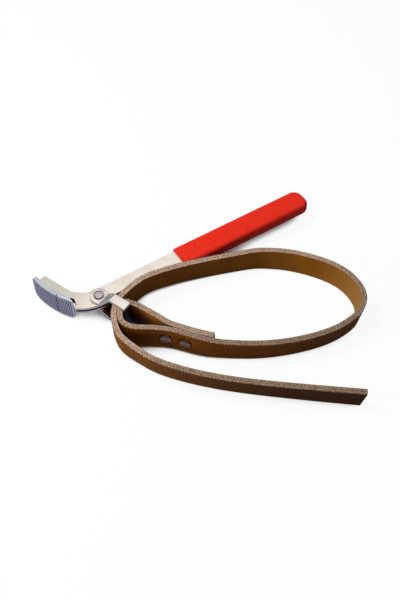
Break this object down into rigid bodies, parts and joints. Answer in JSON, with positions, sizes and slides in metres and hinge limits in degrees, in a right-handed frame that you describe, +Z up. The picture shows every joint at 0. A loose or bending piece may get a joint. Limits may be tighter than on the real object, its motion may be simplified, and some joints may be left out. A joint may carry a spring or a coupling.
{
  "type": "strap oil filter wrench",
  "caption": "Oil filter wrench with a ribbed jaw on a bent flat steel handle, a red vinyl grip, and a brown belt loop held by a riveted swinging shackle.",
  "frame": {"origin": "middle of the footprint, on the surface that the wrench lies on", "axes": "+Z up, along the pivot rivet and across the belt's width; +X to the grip's side and along the belt's free end; +Y from the belt's free end to the grip"},
  "size_m": [0.3123, 0.2467, 0.032],
  "materials": {
    "plated_steel": "bright nickel plating over blanked and bent strip steel",
    "jaw_steel": "plated, with a ribbed gripping face",
    "rivet_steel": "plain plated rivets and burrs, slightly dull",
    "belt_webbing": "brown multi-ply rubberised canvas belting with cut edges",
    "grip_vinyl": "dipped red vinyl, semi-gloss"
  },
  "bodies": {
    "handle": {"upper_plate": "plated_steel", "lower_plate": "plated_steel", "jaw_shoe": "jaw_steel", "pivot_rivet": "rivet_steel", "pivot_bush": "rivet_steel", "handle_filler": "plated_steel", "filler_rivets": "rivet_steel", "grip": "grip_vinyl"},
    "shackle": {"shackle": "plated_steel"},
    "strap": {"strap": "belt_webbing", "strap_rivets": "rivet_steel", "strap_burrs": "rivet_steel"}
  },
  "joints": [
    {"name": "shackle_pivot", "type": "hinge", "parent": "handle", "child": "shackle", "pos_m": [-0.093, -0.014, 0.016], "axis": [0, 0, 1], "range_deg": [-60, 0]},
    {"name": "strap_swivel", "type": "hinge", "parent": "shackle", "child": "strap", "pos_m": [-0.06493, -0.0344, 0.016], "axis": [0, 0, 1], "range_deg": [-25, 0]}
  ]
}
